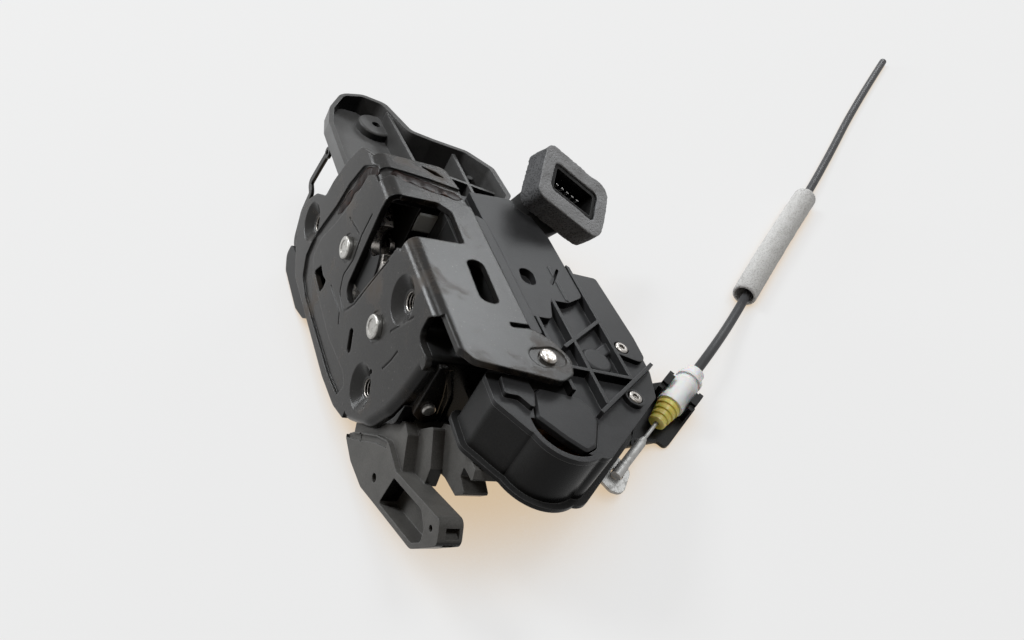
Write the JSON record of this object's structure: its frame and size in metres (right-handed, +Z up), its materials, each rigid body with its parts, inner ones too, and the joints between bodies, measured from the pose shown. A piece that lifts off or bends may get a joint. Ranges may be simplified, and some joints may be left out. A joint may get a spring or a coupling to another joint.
{
  "type": "door latch actuator",
  "caption": "Side-door latch with central-locking drive: pressed steel bolt face and flange, ribbed plastic actuator wing, connector with foam seal, arm, brackets and a release cable.",
  "frame": {"origin": "middle of the bottom of the unit as it lies on a bench, measured without its conduit and sleeve", "axes": "+Z up from the bench, +Y along the fold of the steel plate towards the arm, +X from the bolt face towards the actuator wing"},
  "size_m": [0.3674, 0.249, 0.0775],
  "materials": {
    "coated_steel": "satin black electro-coat",
    "zinc_steel": "zinc plated, dull",
    "fork_steel": "hardened, oiled",
    "spring_steel": "oiled spring wire",
    "inner_steel": "pressed, oiled",
    "buffer_rubber": "pale moulded rubber",
    "black_plastic": "fine satin moulding",
    "grey_black_plastic": "fine satin moulding",
    "switch_plastic": "smooth moulding",
    "motor_steel": "drawn can",
    "brass_alloy": "turned",
    "amber_plastic": "moulded, greased",
    "slider_plastic": "natural moulding",
    "copper_strip": "stamped",
    "yellow_plastic": "soft translucent moulding",
    "white_plastic": "glossy moulding",
    "tin_contact": "tinned",
    "seal_foam": "closed-cell foam, skinned front",
    "conduit_plastic": "extruded jacket",
    "sleeve_foam": "open porous foam"
  },
  "bodies": {
    "housing": {"latch_plate": "coated_steel", "side_bracket": "coated_steel", "side_rivet": "zinc_steel", "tongue_rivet": "zinc_steel", "fork_rivet": "zinc_steel", "pawl_rivet": "zinc_steel", "fork_spring": "spring_steel", "pawl_spring": "spring_steel", "inner_plate": "inner_steel", "striker_buffer": "buffer_rubber", "main_housing": "black_plastic", "fork_housing": "black_plastic", "pawl_housing": "black_plastic", "wing_tray": "black_plastic", "ribbed_cover": "grey_black_plastic", "drum_cap": "grey_black_plastic", "cover_screw_1": "zinc_steel", "cover_screw_2": "zinc_steel", "switch_cover": "black_plastic", "switch_1": "switch_plastic", "switch_2": "switch_plastic", "lock_motor": "motor_steel", "circuit_strip": "copper_strip", "lever_pin": "zinc_steel", "cable_grommet": "yellow_plastic", "cable_abutment": "white_plastic", "cable_cradle": "black_plastic", "connector_body": "black_plastic", "connector_pins": "tin_contact", "connector_seal": "seal_foam", "upper_arm": "black_plastic", "lower_bracket": "black_plastic", "outboard_guard": "black_plastic", "cable_conduit": "conduit_plastic", "foam_sleeve": "sleeve_foam"},
    "fork": {"fork": "fork_steel", "fork_jacket": "black_plastic"},
    "pawl": {"pawl": "fork_steel"},
    "release_lever": {"release_lever": "zinc_steel"},
    "inner_wire": {"inner_wire": "zinc_steel"},
    "outer_lever": {"outer_lever": "coated_steel"},
    "lock_wheel": {"lock_wheel": "amber_plastic"},
    "worm": {"worm": "brass_alloy"},
    "lock_slider": {"lock_slider": "slider_plastic"}
  },
  "joints": [
    {"name": "fork_turn", "type": "hinge", "parent": "housing", "child": "fork", "pos_m": [-0.04319, 0.01695, 0.04484], "axis": [0.8769, 0, -0.4806], "range_deg": [0, 64], "stiffness_Nm_per_rad": 0.12},
    {"name": "pawl_turn", "type": "hinge", "parent": "housing", "child": "pawl", "pos_m": [-0.04257, -0.02965, 0.04598], "axis": [0.8769, 0, -0.4806], "range_deg": [-8, 17]},
    {"name": "release_lever_turn", "type": "hinge", "parent": "housing", "child": "release_lever", "pos_m": [0.01722, -0.0757, 0.01093], "axis": [0.1421, -0.2684, 0.9528], "range_deg": [0, 20], "stiffness_Nm_per_rad": 0.05},
    {"name": "inner_wire_slide", "type": "slide", "parent": "housing", "child": "inner_wire", "axis": [0.8229, 0.5669, 0.037], "range_m": [0, 0.0057]},
    {"name": "outer_lever_turn", "type": "hinge", "parent": "housing", "child": "outer_lever", "pos_m": [-0.06603, 0.06605, 0.00524], "axis": [0.8769, 0, -0.4806], "range_deg": [-12, 0], "stiffness_Nm_per_rad": 0.03},
    {"name": "lock_wheel_turn", "type": "hinge", "parent": "housing", "child": "lock_wheel", "pos_m": [-0.00629, -0.09745, 0.04663], "axis": [0.4806, 0, 0.8769], "range_deg": [-28, 28]},
    {"name": "worm_turn", "type": "hinge", "parent": "housing", "child": "worm", "pos_m": [0.00651, -0.08995, 0.03961], "axis": [0, 1, 0], "range_deg": [-785, 785]},
    {"name": "lock_slide", "type": "slide", "parent": "housing", "child": "lock_slider", "axis": [0.8769, 0, -0.4806], "range_m": [-0.0033, 0.0033]}
  ],
  "couplings": [
    {"joint": "inner_wire_slide", "follows": "release_lever_turn", "m_per_rad": 0.016},
    {"joint": "worm_turn", "follows": "lock_wheel_turn", "ratio": 28},
    {"joint": "lock_slide", "follows": "lock_wheel_turn", "m_per_rad": -0.0065}
  ]
}
